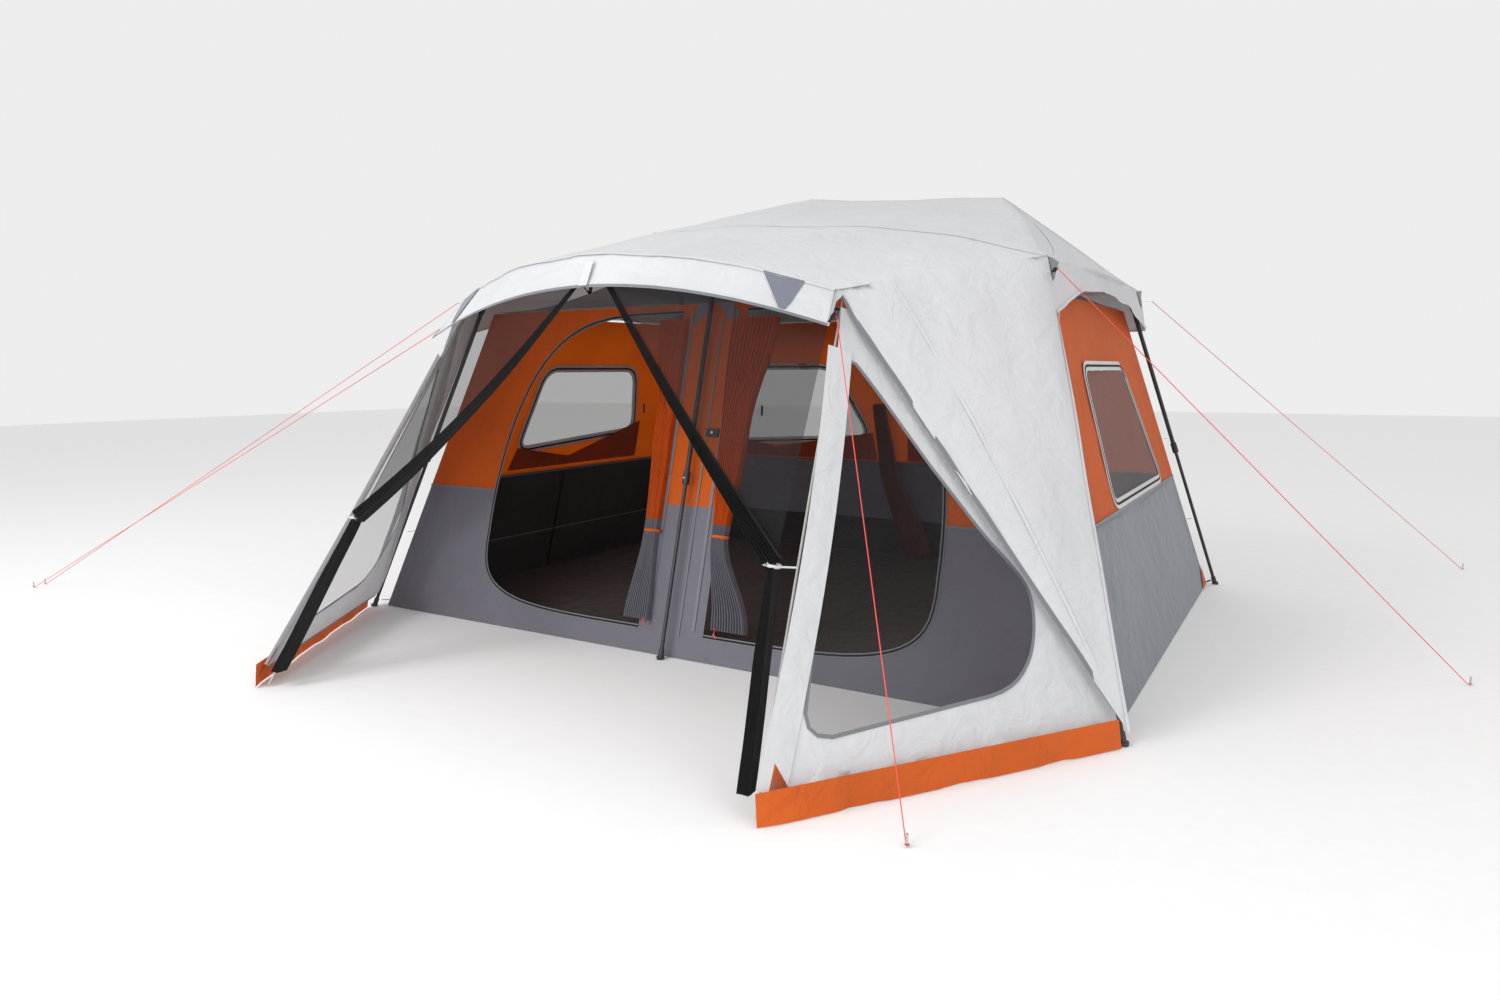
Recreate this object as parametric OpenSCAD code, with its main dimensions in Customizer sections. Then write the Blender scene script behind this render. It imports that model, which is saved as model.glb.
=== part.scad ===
// Instant cabin tent with a screened porch, standing on the ground.
// +Z is up, the porch opens towards -Y, and the origin is the middle of the footprint on the ground.

/* [Footprint] */
// Spacing of the left and right corner legs on the ground
leg_span_x = 4400; // [4000:10:4600]
// Spacing of the front and rear legs on the ground
leg_span_y = 3200; // [2900:10:3300]
// Depth of the porch in front of the front legs
porch_d = 1280; // [1000:10:1300]

/* [Frame] */
// Height of the leg tops at the eaves
eave_z = 1850; // [1750:10:1900]
// How far a wall leans inwards for each unit of height
lean = 0.28; // [0.2:0.01:0.3]
// Distance of each side hub from the middle
hub_x = 1190; // [1050:10:1250]
// Height of the pivots of the side hubs
hub_z = 2300; // [2200:10:2350]
// Height of the pivots of the centre hub
peak_z = 2410; // [2350:10:2450]
// Outside diameter of the roof arms
arm_dia = 19; // [16:1:20]
// Outside diameter of the upper leg tubes
leg_dia = 25; // [24:1:26]
// Outside diameter of the lower leg tubes
inner_leg_dia = 20; // [18:1:20]

/* [Fabric] */
// Thickness of every sheet of fabric
skin = 2; // [2:1:5]
// Height of the mud skirt round the porch
skirt_h = 110; // [80:5:140]
// Height where the walls change colour
split_z = 740; // [650:5:850]

/* [Hidden] */
$fn = 48;
foot_r = 20;
skirt_reach = 20;
mid_y = (porch_d + skirt_reach - foot_r) / 2;
back_leg_y = mid_y + leg_span_y / 2;
front_leg_y = mid_y - leg_span_y / 2;
half_x = leg_span_x / 2;
half_y = leg_span_y / 2;

// Hinges: every pin is along the local Y of its clevis
pivot_r = 45;
pin_r = 3;
pin_gap = 0.08;
tongue_t = 9;
ear_gap = 10;
ear_t = 4;
ear_r = 10;
ear_out = ear_gap / 2 + ear_t;
tongue_l = 24;
hub_r = 30;
side_hub_r = 26;
hub_h = 44;
knuckle_reach = 40;

// Legs: distances are measured down the leg from its top
tube_wall = 1.2;
upper_start = 18;
upper_end = 1000;
lower_start = 920;
lock_start = 970;
lock_end = 1035;
lock_r = 18;
button_at = 1004;
button_r = 5;
button_gap = 0.3;
button_out = 3;
foot_h = 14;
foot_socket = 50;

// Porch corners, measured from the middle of the tent in X and from the front legs in Y
porch_corner = [1350, -porch_d, 0];
porch_shoulder = [1090, -220, 1725];
porch_peak = [0, -400, 1920];

CORNERS = [["front_left", -1, -1], ["front_right", 1, -1], ["rear_left", -1, 1], ["rear_right", 1, 1]];
LEGS = [each CORNERS, ["front_middle", 0, -1], ["rear_middle", 0, 1]];

// Guy lines run straight from the canopy to a peg
guy_dia = 4;
GUYS = [
    ["guy_line_front_left", [-1790, -560, 1845], [-4700, -1690, 6]],
    ["guy_line_front_right", [1790, -560, 1845], [3400, 540, 6]],
    ["guy_line_rear_left", [-1790, 1840, 1845], [-3400, 3450, 6]],
    ["guy_line_rear_right", [1790, 1840, 1845], [3650, 3600, 6]],
    ["guy_line_porch_left", [-1125, -1270, 1650], [-4650, -1780, 6]],
    ["guy_line_porch_right", [1125, -1270, 1650], [1780, -2100, 6]]
];

// ---- Vectors and placing ----
function unit(v) = v / norm(v);
function flat(v) = [v.x, v.y, 0];
function heading(v) = atan2(v.y, v.x);
function climb(v) = atan2(v.z, norm([v.x, v.y]));

// Children drawn along +X come out running from a in the direction of v
module aim(a, v) {
    translate(a)
        rotate([0, -climb(v), heading(v)])
            children();
}

// ---- Places in the frame ----
function leg_foot(sx, sy) = [sx * half_x, mid_y + sy * half_y, 0];
function leg_top(sx, sy) = [
    sx * (half_x - lean * eave_z),
    mid_y + sy * (half_y - lean * eave_z),
    eave_z
];
function hub_of(sx) = [sx * hub_x, mid_y, sx == 0 ? peak_z : hub_z];
function arm_heading(sx, sy) = unit(flat(leg_top(sx, sy) - hub_of(sx)));
function arm_start(sx, sy) = hub_of(sx) + pivot_r * arm_heading(sx, sy);
function arm_end(sx, sy) = leg_top(sx, sy) - knuckle_reach * arm_heading(sx, sy) + [0, 0, 12];
function leg_dir(sx, sy) = unit(leg_foot(sx, sy) - leg_top(sx, sy));
function leg_len(sx, sy) = norm(leg_foot(sx, sy) - leg_top(sx, sy));
function on_body(p) = [p.x, p.y + front_leg_y, p.z];
function flip(p, s) = [s * p.x, p.y, p.z];

// ---- Hinge parts ----
// Two ears and their pin, with the pin at the origin and the body towards -X
module clevis(reach) {
    for (s = [-1, 1])
        translate([0, s * (ear_gap + ear_t) / 2, 0])
            rotate([90, 0, 0]) {
                cylinder(r = ear_r, h = ear_t, center = true);
                translate([-reach / 2, 0, 0])
                    cube([reach, 2 * ear_r, ear_t], center = true);
            }
    rotate([90, 0, 0])
        cylinder(r = pin_r, h = 2 * ear_out, center = true);
}

// The end of an arm: a flat tongue with a bore at the origin, running towards +X
module tongue() {
    difference() {
        union() {
            rotate([90, 0, 0])
                cylinder(r = ear_r - 0.5, h = tongue_t, center = true);
            translate([tongue_l / 2, 0, 0])
                cube([tongue_l, tongue_t, 15], center = true);
        }
        rotate([90, 0, 0])
            cylinder(r = pin_r + pin_gap, h = tongue_t + 2, center = true);
    }
}

// A tube along +Z, closed by a plug at each end
module hollow(r, h) {
    difference() {
        cylinder(r = r, h = h);
        translate([0, 0, 12])
            cylinder(r = r - tube_wall, h = h - 24);
    }
}

// A roof tube between two pivots, with a tongue at each end
module roof_tube(a, b) {
    span = norm(b - a);
    aim(a, b - a) {
        tongue();
        translate([span, 0, 0])
            rotate([0, 0, 180])
                tongue();
        translate([tongue_l - 2, 0, 0])
            rotate([0, 90, 0])
                hollow(arm_dia / 2, span - 2 * tongue_l + 4);
    }
}

// ---- Roof frame ----
module hub_core(r) {
    cylinder(r = r, h = hub_h, center = true);
    translate([0, 0, hub_h / 2])
        cylinder(r = r * 0.6, h = 8);
}

module centre_hub() {
    color("dimgray")
        translate(hub_of(0)) {
            hub_core(hub_r);
            for (a = [0:90:270])
                rotate([0, 0, a])
                    translate([pivot_r, 0, 0])
                        clevis(pivot_r - hub_r + 6);
        }
}

module side_hub(s) {
    color("dimgray")
        translate(hub_of(s)) {
            hub_core(side_hub_r);
            rotate([0, 0, s > 0 ? 180 : 0])
                translate([pivot_r, 0, 0])
                    clevis(pivot_r - side_hub_r + 6);
            for (sy = [-1, 1])
                rotate([0, 0, heading(arm_heading(s, sy))])
                    translate([pivot_r, 0, 0])
                        clevis(pivot_r - side_hub_r + 6);
        }
}

module ridge_tube(s) {
    color("silver")
        roof_tube(hub_of(0) + [s * pivot_r, 0, 0], hub_of(s) - [s * pivot_r, 0, 0]);
}

module roof_arm(sx, sy) {
    color("silver")
        roof_tube(arm_start(sx, sy), arm_end(sx, sy));
}

// ---- Legs ----
module down_leg(sx, sy, s) {
    aim(leg_top(sx, sy) + s * leg_dir(sx, sy), leg_dir(sx, sy))
        children();
}

module rod(r, h) {
    rotate([0, 90, 0])
        cylinder(r = r, h = h);
}

module eave_knuckle(sx, sy) {
    color("black")
        difference() {
            union() {
                down_leg(sx, sy, -22)
                    rod(17, 92);
                aim(arm_end(sx, sy), -arm_heading(sx, sy))
                    clevis(knuckle_reach);
            }
            down_leg(sx, sy, upper_start)
                rod(leg_dia / 2, 100);
        }
}

module upper_leg(sx, sy) {
    color("black")
        difference() {
            union() {
                down_leg(sx, sy, upper_start)
                    rod(leg_dia / 2, upper_end - upper_start);
                down_leg(sx, sy, lock_start)
                    rod(lock_r, lock_end - lock_start);
            }
            down_leg(sx, sy, upper_start - 1)
                rod(inner_leg_dia / 2 + button_gap, lock_end);
            down_leg(sx, sy, button_at)
                translate([0, 0, inner_leg_dia / 2 + 1])
                    cylinder(r = button_r + button_gap, h = lock_r);
        }
}

module lock_button(sx, sy) {
    color("silver")
        down_leg(sx, sy, button_at)
            translate([0, 0, lock_r - button_r])
                cylinder(r = button_r, h = button_r + button_out);
}

module lower_leg(sx, sy) {
    color("dimgray") {
        difference() {
            down_leg(sx, sy, lower_start)
                rod(inner_leg_dia / 2, leg_len(sx, sy) - lower_start - 8);
            down_leg(sx, sy, lower_start - 1)
                rod(inner_leg_dia / 2 - tube_wall, leg_len(sx, sy) - lower_start - 30);
        }
        difference() {
            union() {
                translate(leg_foot(sx, sy))
                    cylinder(r = foot_r, h = foot_h);
                down_leg(sx, sy, leg_len(sx, sy) - foot_socket)
                    rod(14, foot_socket - 6);
            }
            down_leg(sx, sy, lower_start)
                rod(inner_leg_dia / 2, leg_len(sx, sy) - lower_start - 8);
        }
    }
}

// ---- Sheets ----
// A flat sheet of any corners in order, given thickness along its own normal
module sheet(points, t = skin) {
    n = len(points);
    normal = unit(cross(points[1] - points[0], points[2] - points[0]));
    polyhedron(
        points = [each points, for (p = points) p + t * normal],
        faces = [
            [for (i = [0:n - 1]) i],
            [for (i = [0:n - 1]) 2 * n - 1 - i],
            for (i = [0:n - 1]) [i, n + i, n + (i + 1) % n, (i + 1) % n]
        ]
    );
}

// A wall that leans inwards: its outline is drawn with X along the ground and Y up the slope
module on_slope(side, away) {
    translate([0, mid_y, 0])
        rotate([0, 0, side])
            translate([0, -away, 0])
                rotate([90 - atan(lean), 0, 0])
                    children();
}

module leaning(side, away) {
    on_slope(side, away)
        linear_extrude(height = skin)
            children();
}

slope = sqrt(1 + lean * lean);
wall_h = 1780;
side_in = 50;
wall_x = half_x - side_in;
wall_y = half_y - side_in;
corner_gap = 12;

module wall_outline(half) {
    polygon([
        [-half, 0],
        [half, 0],
        [half - lean * wall_h, wall_h * slope],
        [lean * wall_h - half, wall_h * slope]
    ]);
}

// Door: a D with its straight side near the middle pole
door_in = 130;
door_w = 1250;
door_mid = 600;
door_up = 1140;
door_down = 480;
door_steps = 24;

function door_edge(a) = [
    door_in + door_w * pow(cos(a), 0.45),
    (door_mid + (a > 0 ? door_up * sin(a) : -door_down * pow(-sin(a), 0.45))) * slope
];

module door_outline() {
    polygon([for (i = [0:door_steps]) door_edge(-90 + i * 180 / door_steps)]);
}

module front_wall() {
    color("orangered")
        leaning(0, wall_y)
            difference() {
                wall_outline(wall_x - corner_gap);
                for (s = [0, 1])
                    mirror([s, 0])
                        door_outline();
            }
}

module back_wall() {
    color("orangered")
        leaning(180, wall_y)
            wall_outline(wall_x - corner_gap);
}

module side_wall(s) {
    color("orangered")
        leaning(s > 0 ? 90 : -90, wall_x)
            wall_outline(wall_y - corner_gap);
}

module floor_sheet() {
    color("saddlebrown")
        translate([0, mid_y, skin / 2])
            cube([2 * (wall_x - 8), 2 * (wall_y - 8), skin], center = true);
}

// ---- Curved sheets from a grid of points ----
// rows[i][j] are the points of the outer side; the inner side lies t below it and t nearer the middle
module grid_sheet(rows, t = skin) {
    nr = len(rows);
    nc = len(rows[0]);
    n = nr * nc;
    function at(i, j) = i * nc + j;
    polyhedron(
        points = [
            for (row = rows) each row,
            for (row = rows) for (p = row) p - t * [sign(p.x), sign(p.y - mid_y), 1]
        ],
        faces = [
            for (i = [0:nr - 2]) for (j = [0:nc - 2]) each [
                [at(i, j), at(i + 1, j), at(i + 1, j + 1)],
                [at(i, j), at(i + 1, j + 1), at(i, j + 1)],
                [n + at(i, j), n + at(i + 1, j + 1), n + at(i + 1, j)],
                [n + at(i, j), n + at(i, j + 1), n + at(i + 1, j + 1)]
            ],
            for (j = [0:nc - 2]) each [
                [at(0, j), at(0, j + 1), n + at(0, j + 1)],
                [at(0, j), n + at(0, j + 1), n + at(0, j)],
                [at(nr - 1, j + 1), at(nr - 1, j), n + at(nr - 1, j)],
                [at(nr - 1, j + 1), n + at(nr - 1, j), n + at(nr - 1, j + 1)]
            ],
            for (i = [0:nr - 2]) each [
                [at(i + 1, 0), at(i, 0), n + at(i, 0)],
                [at(i + 1, 0), n + at(i, 0), n + at(i + 1, 0)],
                [at(i, nc - 1), at(i + 1, nc - 1), n + at(i + 1, nc - 1)],
                [at(i, nc - 1), n + at(i + 1, nc - 1), n + at(i, nc - 1)]
            ]
        ]
    );
}

function mix(a, b, t) = a + t * (b - a);

// The canopy lies this far above the tubes
fly_up = 55;
fly_cols = 24;
fold_at = 0.75;
eave_half = half_x - lean * eave_z + 55;
eave_y = half_y - lean * eave_z + 55;

// Height of the canopy over the ridge, from the middle to one side
function ridge_top(x) =
    abs(x) < hub_x
        ? mix(peak_z, hub_z, abs(x) / hub_x) + fly_up
        : mix(hub_z, eave_z, (abs(x) - hub_x) / (eave_half - hub_x)) + fly_up;

// Columns bunch up so that one of them runs down each corner arm, from inner to the eave
function col_x(j, inner) =
    let (u = 2 * j / fly_cols - 1, a = abs(u))
    sign(u) * (a < fold_at ? inner * a / fold_at : mix(inner, eave_half, (a - fold_at) / (1 - fold_at)));
corner_x = eave_half - 15;

function ridge_row() = [
    for (j = [0:fly_cols])
        let (x = col_x(j, hub_x)) [x, mid_y, ridge_top(x)]
];
function eave_row(y, z) = [for (j = [0:fly_cols]) [col_x(j, corner_x), mid_y + y, z]];
function arch_point(u) =
    let (s = sign(u), a = abs(u))
    on_body([
        s * porch_shoulder.x * a,
        mix(porch_peak.y, porch_shoulder.y, a * a) - 25,
        mix(porch_peak.z, porch_shoulder.z, pow(a, 2)) + 20
    ]);
function arch_row() = [for (j = [0:fly_cols]) arch_point(col_x(j, corner_x) / eave_half)];
function valance_under(p) =
    let (k = pow(p.x / porch_shoulder.x, 2))
    p + [sign(p.x) * 30 * k, -70 - 60 * k, -150];
front_middle_z = 2150;
function front_eave_row() = [
    for (j = [0:fly_cols])
        let (x = col_x(j, corner_x))
        [x, mid_y - eave_y, mix(front_middle_z, eave_z + fly_up, pow(abs(x) / eave_half, 2))]
];
function between(a, b, t) = [for (j = [0:len(a) - 1]) mix(a[j], b[j], t)];

// Where the canopy's side edge hangs, row by row: first the wing down to the front leg's foot,
// then a valance that is shallow in its middle and ends round the rear corner
wing_foot = [half_x + 20, front_leg_y - 28, 60];
function hanging(p, out, back, down) = p + [out, back, -down];
function side_edge(valance, arch, front, quarter, ridge, rear_quarter, rear, hem) = [
    hanging(valance, 6, 0, 0),
    hanging(arch, 12, 16, 30),
    wing_foot,
    hanging(front, 45, 30, 240),
    hanging(quarter, 22, 0, 110),
    hanging(ridge, 12, 0, 70),
    hanging(rear_quarter, 22, 0, 110),
    hanging(rear, 40, -15, 232),
    hanging(hem, 34, -24, 0)
];

module fly_canopy() {
    ridge = ridge_row();
    rear = eave_row(eave_y, eave_z + fly_up);
    hem = eave_row(eave_y + 40, eave_z - 190);
    front = front_eave_row();
    arch = arch_row();
    valance = [for (p = arch) valance_under(p)];
    quarter = between(front, ridge, 0.5);
    rear_quarter = between(ridge, rear, 0.5);
    rows = [valance, arch, between(arch, front, 0.5), front, quarter, ridge, rear_quarter, rear, hem];
    e = fly_cols;
    edge = side_edge(valance[e], arch[e], front[e], quarter[e], ridge[e], rear_quarter[e], rear[e], hem[e]);
    color("whitesmoke")
        grid_sheet([for (i = [0:len(rows) - 1]) [flip(edge[i], -1), each rows[i], edge[i]]]);
}

module mesh_ceiling() {
    z = 1790;
    cx = half_x - lean * z - side_in - 15;
    cy = half_y - lean * z - side_in - 15;
    lift = 400;
    rows = [
        [[-cx, mid_y - cy, z], [-hub_x, mid_y - cy, z], [hub_x, mid_y - cy, z], [cx, mid_y - cy, z]],
        [[-cx, mid_y, z], [-hub_x + 60, mid_y, z + lift], [hub_x - 60, mid_y, z + lift], [cx, mid_y, z]],
        [[-cx, mid_y + cy, z], [-hub_x, mid_y + cy, z], [hub_x, mid_y + cy, z], [cx, mid_y + cy, z]]
    ];
    color("darkslategray")
        grid_sheet(rows);
}

// ---- Porch ----
porch_foot_y = -30;

module porch_wall(s) {
    a = flip(on_body(porch_corner), s);
    b = [s * (half_x - 10), front_leg_y + porch_foot_y, 0];
    c = flip(on_body(porch_shoulder + [12, 0, -50]), s);
    color("white")
        sheet(s > 0 ? [b, a, c] : [c, a, b]);
}

// Two mesh panels parted from the peak, each tied to its post and hanging below the tie
tie_t = 0.56;
bundle_r = 40;
bundle_l = 800;

module porch_screen() {
    for (s = [-1, 1]) {
        peak = on_body(porch_peak + [s * 12, -8, -30]);
        shoulder = flip(on_body(porch_shoulder + [-20, -8, -30]), s);
        tied = flip(on_body(mix(porch_shoulder, porch_corner, tie_t) + [-35, -8, 0]), s);
        color("black") {
            sheet(s > 0 ? [peak, tied, shoulder] : [shoulder, tied, peak]);
            aim(tied + [-s * 60, -10, -20], flip(porch_corner - porch_shoulder, s))
                rod(bundle_r, bundle_l);
        }
    }
}

skirt_flare = 20;

module skirt_side(s) {
    a = flip(on_body(porch_corner + [-4, -14, 0]), s);
    b = [s * (half_x + 8), front_leg_y - 56, 0];
    out = s * unit([b.y - a.y, -(b.x - a.x), 0]) * (b.y > a.y ? 1 : -1);
    rise = [0, 0, skirt_h] - skirt_flare * out;
    points = [a, b, b + rise, a + rise];
    for (tri = [[points[0], points[1], points[2]], [points[0], points[2], points[3]]])
        sheet(s > 0 ? tri : [tri[2], tri[1], tri[0]]);
}

module mud_skirt() {
    color("darkorange")
        for (s = [-1, 1])
            skirt_side(s);
}

// The porch bow: one fibreglass rod from ground to ground along the post, the arch and the other post
bow_r = 5;
bow_steps = 28;
bow_in = [0, 40, -12];
function bow_point(t) =
    let (u = t < 1 ? t : 2 - t, s = t < 1 ? -1 : 1)
    flip(on_body(
        u < 0.5
            ? mix(porch_corner + [-40, 0, 20], porch_shoulder, u * 2)
            : let (a = (u - 0.5) * 180, rise = pow(sin(a), 2)) [
                porch_shoulder.x * cos(a),
                mix(porch_shoulder.y, porch_peak.y, rise),
                mix(porch_shoulder.z, porch_peak.z, rise)
            ]
    ) + bow_in, s);

module porch_bow() {
    color("gray")
        tube([for (i = [0:bow_steps]) bow_point(2 * i / bow_steps)], bow_r, 8);
}

// A round tube swept along a route of points
module tube(route, r, sides) {
    n = len(route);
    function along(i) =
        i == 0 ? unit(route[1] - route[0])
        : i == n - 1 ? unit(route[n - 1] - route[n - 2])
        : unit(unit(route[i + 1] - route[i]) + unit(route[i] - route[i - 1]));
    function side_of(i) = unit(cross(along(i), abs(along(i).y) < 0.99 ? [0, 1, 0] : [1, 0, 0]));
    function ring(i) = [
        for (k = [0:sides - 1])
            let (a = 360 * k / sides, u = side_of(i), w = cross(along(i), u))
            route[i] + r * (cos(a) * u + sin(a) * w)
    ];
    polyhedron(
        points = [for (i = [0:n - 1]) each ring(i)],
        faces = [
            [for (k = [0:sides - 1]) sides - 1 - k],
            for (i = [0:n - 2]) for (k = [0:sides - 1]) each [
                [i * sides + k, i * sides + (k + 1) % sides, (i + 1) * sides + (k + 1) % sides],
                [i * sides + k, (i + 1) * sides + (k + 1) % sides, (i + 1) * sides + k]
            ],
            [for (k = [0:sides - 1]) (n - 1) * sides + k]
        ]
    );
}

// ---- Soft pieces that are tied back ----
roll_x = 215;
roll_low = 170;
roll_top = 1650;

module door_panels() {
    on_slope(0, wall_y)
        for (s = [-1, 1])
            translate([s * roll_x, 0, 0])
                rotate([-90, 0, 0]) {
                    color("orangered")
                        translate([0, 0, split_z * slope])
                            cylinder(r = 60, h = roll_top - split_z * slope);
                    color("slategray")
                        translate([0, 0, roll_low])
                            cylinder(r = 70, h = split_z * slope - roll_low);
                }
}

module room_divider() {
    color("sienna")
        translate([0, back_leg_y - 160, 30])
            rotate([atan(lean), 0, 0])
                cylinder(r = 45, h = 1200);
}

// ---- Light control: drawn on the front wall, with Z out of the wall ----
control_x = 95;
control_up = 1110;
control_size = [70, 40, 16];
light_button_r = 7;

module on_front_wall() {
    on_slope(0, wall_y)
        translate([control_x, control_up * slope, skin])
            children();
}

module light_control() {
    color("black")
        on_front_wall()
            difference() {
                translate([0, 0, control_size.z / 2])
                    cube(control_size, center = true);
                translate([0, 0, control_size.z - 6])
                    cylinder(r = light_button_r + button_gap, h = 10);
            }
}

module light_button() {
    color("silver")
        on_front_wall()
            translate([0, 0, control_size.z - 3])
                cylinder(r = light_button_r, h = 5);
}

// ---- Guy lines and pegs ----
module guy_line(i) {
    top = GUYS[i][1];
    peg = GUYS[i][2];
    color("tomato")
        tube([for (k = [0:8]) mix(top, peg, k / 8)], guy_dia / 2, 8);
}

module ground_pegs() {
    color("silver")
        for (g = GUYS) {
            away = unit(flat(g[2] - g[1]));
            translate(g[2] + away * 14 - [0, 0, g[2].z])
                cylinder(r = 4, h = 40);
        }
}

centre_hub();
side_hub(-1);  // side_hub_left
side_hub(1);  // side_hub_right
ridge_tube(-1);  // ridge_tube_left
ridge_tube(1);  // ridge_tube_right
for (leg = LEGS) {
    roof_arm(leg[1], leg[2]);
    eave_knuckle(leg[1], leg[2]);
    upper_leg(leg[1], leg[2]);
    lower_leg(leg[1], leg[2]);
    lock_button(leg[1], leg[2]);
}
porch_bow();
floor_sheet();
front_wall();
back_wall();
side_wall(-1);  // left_wall
side_wall(1);  // right_wall
mesh_ceiling();
fly_canopy();
porch_wall(-1);  // porch_wall_left
porch_wall(1);  // porch_wall_right
porch_screen();
mud_skirt();
door_panels();
room_divider();
light_control();
light_button();
for (i = [0:len(GUYS) - 1]) {
    guy_line(i);
}
ground_pegs();
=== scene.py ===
import math

import bpy
from mathutils import Matrix, Vector, noise
from mathutils.geometry import delaunay_2d_cdt


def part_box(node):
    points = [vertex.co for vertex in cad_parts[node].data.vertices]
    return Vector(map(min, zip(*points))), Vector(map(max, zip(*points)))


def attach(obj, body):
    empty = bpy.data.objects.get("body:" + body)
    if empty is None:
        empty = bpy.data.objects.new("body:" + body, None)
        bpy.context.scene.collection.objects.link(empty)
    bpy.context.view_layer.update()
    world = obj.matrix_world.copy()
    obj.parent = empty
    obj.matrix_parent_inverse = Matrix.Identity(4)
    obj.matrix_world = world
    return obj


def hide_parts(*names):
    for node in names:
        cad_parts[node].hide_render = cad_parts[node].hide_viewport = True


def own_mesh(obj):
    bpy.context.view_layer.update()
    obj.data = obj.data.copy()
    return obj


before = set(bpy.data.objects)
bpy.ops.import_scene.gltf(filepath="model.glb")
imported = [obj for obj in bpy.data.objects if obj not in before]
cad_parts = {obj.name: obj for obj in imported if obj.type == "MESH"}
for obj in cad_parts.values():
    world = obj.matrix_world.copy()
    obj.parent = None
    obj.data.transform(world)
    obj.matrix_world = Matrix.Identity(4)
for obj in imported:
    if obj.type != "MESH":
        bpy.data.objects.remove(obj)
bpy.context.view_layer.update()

# ---- Dimensions, read from the CAD boxes where they can be ----
floor_lo, floor_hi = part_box("floor_sheet")
MID = (floor_lo[1] + floor_hi[1]) / 2
WALL_X = floor_hi[0] + 0.008
WALL_Y = (floor_hi[1] - floor_lo[1]) / 2 + 0.008
HALF_X, HALF_Y = WALL_X + 0.05, WALL_Y + 0.05
FRONT_Y = MID - HALF_Y
LEAN = 0.28
EAVE_Z = 1.85
SPLIT = 0.74
WALL_TOP = 1.78
HUB_X, HUB_Z, PEAK_Z = 1.19, 2.30, 2.41
FLY_UP = 0.055
EAVE_X = HALF_X - LEAN * EAVE_Z + 0.055
EAVE_Y = HALF_Y - LEAN * EAVE_Z + 0.055
CORNER = Vector((1.35, FRONT_Y - 1.28, 0))
SHOULDER = Vector((1.09, FRONT_Y - 0.22, 1.725))
PEAK = Vector((0, FRONT_Y - 0.40, 1.92))
WING_FOOT = Vector((HALF_X + 0.02, FRONT_Y - 0.028, 0.06))
TIE = 0.57
DOOR_SIDE, DOOR_MID, DOOR_CURVE = 0.13, 0.6, 0.45
DOOR_WIDE, DOOR_UP, DOOR_DOWN = 1.25, 1.14, 0.48
DOOR_CLOTH, DIVIDER_CLOTH = 1.25, 1.5
SCREEN_CLOTH, SCREEN_PLEATS = 1.35, 13
CORD_R, KNOT_R = 0.002, 0.0065
UP, FORWARD = Vector((0, 0, 1)), Vector((0, -1, 0))
SIDES = ((1, "right"), (-1, "left"))

# ---- Camera ----
SENSOR, LENS = 36, 22.8732
SHIFT_X, SHIFT_Y = -0.00562, -0.0057867
TURN, TILT, ROLL = 0.543, 0.125, -0.006
ahead = Vector((-math.sin(TURN) * math.cos(TILT), math.cos(TURN) * math.cos(TILT), -math.sin(TILT)))
side = ahead.cross(Vector((0, 0, 1))).normalized()
up = side.cross(ahead)
cam_x = side * math.cos(ROLL) + up * math.sin(ROLL)
cam_y = -side * math.sin(ROLL) + up * math.cos(ROLL)
cam_data = bpy.data.cameras.new("camera")
cam_data.sensor_width = SENSOR
cam_data.lens = LENS
cam_data.shift_x = SHIFT_X
cam_data.shift_y = SHIFT_Y
cam_data.clip_end = 100
camera = bpy.data.objects.new("camera", cam_data)
bpy.context.scene.collection.objects.link(camera)
turned = Matrix((cam_x, cam_y, -ahead)).transposed().to_4x4()
camera.matrix_world = Matrix.Translation((2.814, FRONT_Y - 3.704, 1.422)) @ turned
bpy.context.scene.camera = camera


# ---- Materials ----
def new_material(name):
    m = bpy.data.materials.new(name)
    m.use_nodes = True
    nodes, links = m.node_tree.nodes, m.node_tree.links
    return m, nodes, links, nodes["Principled BSDF"]


def add(nodes, kind, **values):
    n = nodes.new(kind)
    for key, value in values.items():
        if key in n.inputs:
            n.inputs[key].default_value = value
        else:
            setattr(n, key, value)
    return n


def vary(nodes, links, where, rgb, amount, scale):
    """A colour that drifts a little from place to place."""
    n = add(nodes, "ShaderNodeTexNoise", Scale=scale, Detail=5.0)
    links.new(where.outputs["Object"], n.inputs["Vector"])
    ramp = nodes.new("ShaderNodeValToRGB")
    low = [c * (1 - amount) for c in rgb]
    high = [min(1, c * (1 + amount)) for c in rgb]
    ramp.color_ramp.elements[0].position, ramp.color_ramp.elements[1].position = 0.3, 0.7
    ramp.color_ramp.elements[0].color = (*low, 1)
    ramp.color_ramp.elements[1].color = (*high, 1)
    links.new(n.outputs["Fac"], ramp.inputs["Fac"])
    return ramp


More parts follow.
